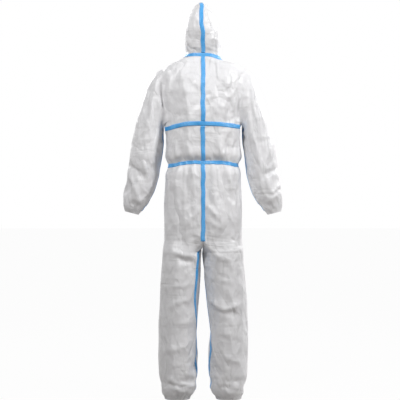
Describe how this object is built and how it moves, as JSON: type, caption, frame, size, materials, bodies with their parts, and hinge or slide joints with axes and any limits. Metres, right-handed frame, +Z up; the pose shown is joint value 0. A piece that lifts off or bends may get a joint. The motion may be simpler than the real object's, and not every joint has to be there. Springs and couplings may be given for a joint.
{
  "type": "chemical protective suit",
  "caption": "Hooded disposable chemical protective coverall in white laminated fabric with blue taped seams, elastic waist, cuffs and ankles, front zip and storm flap.",
  "frame": {"origin": "middle of the coverall's footprint, at the ankle hems' height", "axes": "+Z up, +X towards the wearer's left, front towards -Y"},
  "size_m": [0.7036, 0.2601, 1.735],
  "materials": {
    "laminated_fabric": "crinkled film laminated nonwoven, slightly glossy",
    "seam_tape": "heat sealed film, satin",
    "elastic": "braided elastic",
    "zip_webbing": "woven tape",
    "zip_plastic": "moulded nylon, satin",
    "adhesive": "release film over adhesive"
  },
  "bodies": {
    "torso": {"neck_section": "laminated_fabric", "neck_tape": "seam_tape", "yoke_tape": "seam_tape", "waist_tape": "seam_tape", "waist_elastic": "elastic", "back_tape_seat": "seam_tape", "back_tape_middle": "seam_tape", "back_tape_upper": "seam_tape", "zip_bottom_stop": "zip_plastic", "seat_panel_left": "laminated_fabric", "lower_body_left": "laminated_fabric", "upper_body_left": "laminated_fabric", "shoulder_section_left": "laminated_fabric", "hip_section_left": "laminated_fabric", "zip_tape_left": "zip_webbing", "zip_teeth_left": "zip_plastic", "seat_panel_right": "laminated_fabric", "lower_body_right": "laminated_fabric", "upper_body_right": "laminated_fabric", "shoulder_section_right": "laminated_fabric", "hip_section_right": "laminated_fabric", "zip_tape_right": "zip_webbing", "zip_teeth_right": "zip_plastic"},
    "hood": {"hood_panel_left": "laminated_fabric", "hood_panel_right": "laminated_fabric", "hood_centre_tape": "seam_tape", "face_elastic": "elastic"},
    "sleeve_left": {"upper_sleeve_left": "laminated_fabric", "upper_sleeve_tape_left": "seam_tape", "elbow_section_left": "laminated_fabric"},
    "forearm_left": {"forearm_sleeve_left": "laminated_fabric", "forearm_tape_left": "seam_tape", "wrist_elastic_left": "elastic"},
    "thigh_left": {"thigh_left": "laminated_fabric", "thigh_tape_left": "seam_tape", "knee_section_left": "laminated_fabric"},
    "shin_left": {"shin_left": "laminated_fabric", "shin_tape_left": "seam_tape", "ankle_elastic_left": "elastic"},
    "sleeve_right": {"upper_sleeve_right": "laminated_fabric", "upper_sleeve_tape_right": "seam_tape", "elbow_section_right": "laminated_fabric"},
    "forearm_right": {"forearm_sleeve_right": "laminated_fabric", "forearm_tape_right": "seam_tape", "wrist_elastic_right": "elastic"},
    "thigh_right": {"thigh_right": "laminated_fabric", "thigh_tape_right": "seam_tape", "knee_section_right": "laminated_fabric"},
    "shin_right": {"shin_right": "laminated_fabric", "shin_tape_right": "seam_tape", "ankle_elastic_right": "elastic"},
    "slider": {"zip_slider": "zip_plastic", "slider_bridge": "zip_plastic"},
    "pull": {"zip_pull": "zip_plastic"},
    "flap": {"storm_flap": "laminated_fabric", "adhesive_strip": "adhesive"}
  },
  "joints": [
    {"name": "hood_tilt", "type": "hinge", "parent": "torso", "child": "hood", "pos_m": [0, 0.1, 1.5], "axis": [-1, 0, 0], "range_deg": [0, 100], "deforming": ["neck_section"]},
    {"name": "shoulder_raise_left", "type": "hinge", "parent": "torso", "child": "sleeve_left", "pos_m": [0.185, 0, 1.385], "axis": [0, -1, 0], "range_deg": [0, 75], "deforming": ["shoulder_section_left"]},
    {"name": "elbow_bend_left", "type": "hinge", "parent": "sleeve_left", "child": "forearm_left", "pos_m": [0.266, 0, 0.995], "axis": [-1, 0, 0], "range_deg": [0, 90], "deforming": ["elbow_section_left"]},
    {"name": "hip_bend_left", "type": "hinge", "parent": "torso", "child": "thigh_left", "pos_m": [0.095, 0, 0.8], "axis": [-1, 0, 0], "range_deg": [-15, 75], "deforming": ["hip_section_left"]},
    {"name": "knee_bend_left", "type": "hinge", "parent": "thigh_left", "child": "shin_left", "pos_m": [0.105, 0, 0.42], "axis": [1, 0, 0], "range_deg": [0, 90], "deforming": ["knee_section_left"]},
    {"name": "shoulder_raise_right", "type": "hinge", "parent": "torso", "child": "sleeve_right", "pos_m": [-0.185, 0, 1.385], "axis": [0, 1, 0], "range_deg": [0, 75], "deforming": ["shoulder_section_right"]},
    {"name": "elbow_bend_right", "type": "hinge", "parent": "sleeve_right", "child": "forearm_right", "pos_m": [-0.266, 0, 0.995], "axis": [-1, 0, 0], "range_deg": [0, 90], "deforming": ["elbow_section_right"]},
    {"name": "hip_bend_right", "type": "hinge", "parent": "torso", "child": "thigh_right", "pos_m": [-0.095, 0, 0.8], "axis": [-1, 0, 0], "range_deg": [-15, 75], "deforming": ["hip_section_right"]},
    {"name": "knee_bend_right", "type": "hinge", "parent": "thigh_right", "child": "shin_right", "pos_m": [-0.105, 0, 0.42], "axis": [1, 0, 0], "range_deg": [0, 90], "deforming": ["knee_section_right"]},
    {"name": "zip_travel", "type": "slide", "parent": "torso", "child": "slider", "axis": [0, 0, -1], "range_m": [0, 0.56]},
    {"name": "pull_swing", "type": "hinge", "parent": "slider", "child": "pull", "pos_m": [0, -0.1234, 1.425], "axis": [-1, 0, 0], "range_deg": [0, 175]},
    {"name": "flap_open", "type": "hinge", "parent": "torso", "child": "flap", "pos_m": [0.034, -0.121, 1.1065], "axis": [0, 0, 1], "range_deg": [0, 150]}
  ]
}
